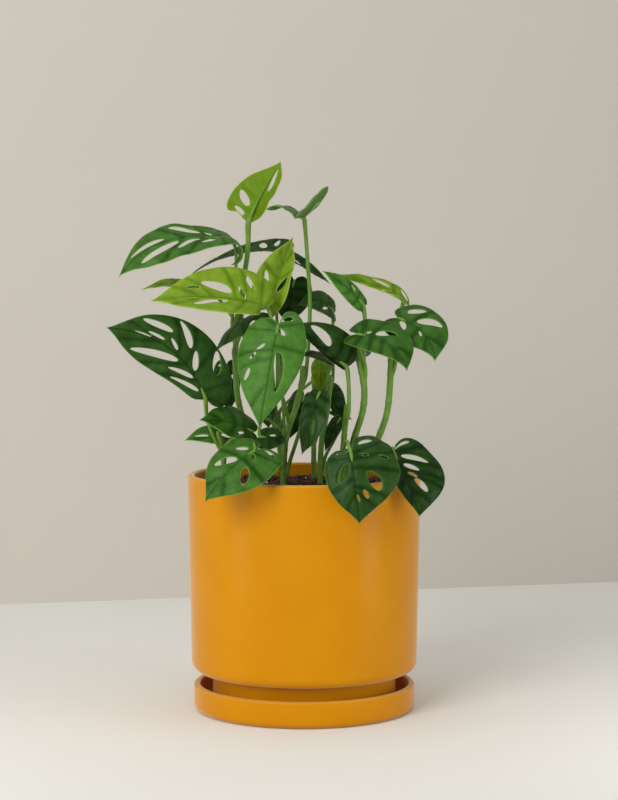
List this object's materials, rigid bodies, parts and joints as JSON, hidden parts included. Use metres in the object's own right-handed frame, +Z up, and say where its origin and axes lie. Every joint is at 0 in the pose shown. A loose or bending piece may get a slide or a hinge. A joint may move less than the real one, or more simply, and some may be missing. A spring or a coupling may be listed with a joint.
{
  "type": "potted monstera epipremnoides",
  "caption": "Leafy green house plant with oval holes in its leaves, in a glossy mustard cylinder pot that stands on a matching round saucer.",
  "frame": {"origin": "centre of the saucer's flat underside, where it rests on a table", "axes": "+Z up along the pot's axis, -Y towards the front, +X to the right as seen from the front"},
  "size_m": [0.2908, 0.2704, 0.477],
  "materials": {
    "glaze": "satin",
    "soil": "matte",
    "stem": "satin",
    "leaf_lime": "satin",
    "leaf_green": "satin",
    "leaf_dark": "satin"
  },
  "bodies": {
    "root": {"saucer": "glaze", "pot": "glaze", "soil": "soil", "stem_01": "stem", "stem_02": "stem", "stem_03": "stem", "stem_04": "stem", "stem_05": "stem", "stem_06": "stem", "stem_07": "stem", "stem_08": "stem", "stem_09": "stem", "leaf_01": "leaf_lime", "leaf_02": "leaf_green", "leaf_03": "leaf_green", "leaf_04": "leaf_dark", "leaf_05": "leaf_lime", "leaf_06": "leaf_dark", "leaf_07": "leaf_green", "leaf_08": "leaf_lime", "leaf_09": "leaf_lime", "leaf_10": "leaf_lime", "leaf_11": "leaf_dark", "leaf_12": "leaf_dark", "leaf_13": "leaf_green", "leaf_14": "leaf_dark", "leaf_15": "leaf_dark", "leaf_16": "leaf_green", "leaf_17": "leaf_dark", "leaf_18": "leaf_green", "leaf_19": "leaf_green", "leaf_20": "leaf_dark", "leaf_21": "leaf_dark", "leaf_22": "leaf_green", "leaf_23": "leaf_green", "leaf_24": "leaf_dark", "leaf_25": "leaf_dark", "leaf_26": "leaf_lime", "leaf_27": "leaf_dark", "leaf_28": "leaf_dark", "leaf_29": "leaf_dark", "leaf_30": "leaf_dark", "leaf_31": "leaf_dark", "leaf_32": "leaf_dark", "leaf_33": "leaf_dark", "leaf_34": "leaf_dark"}
  },
  "joints": []
}
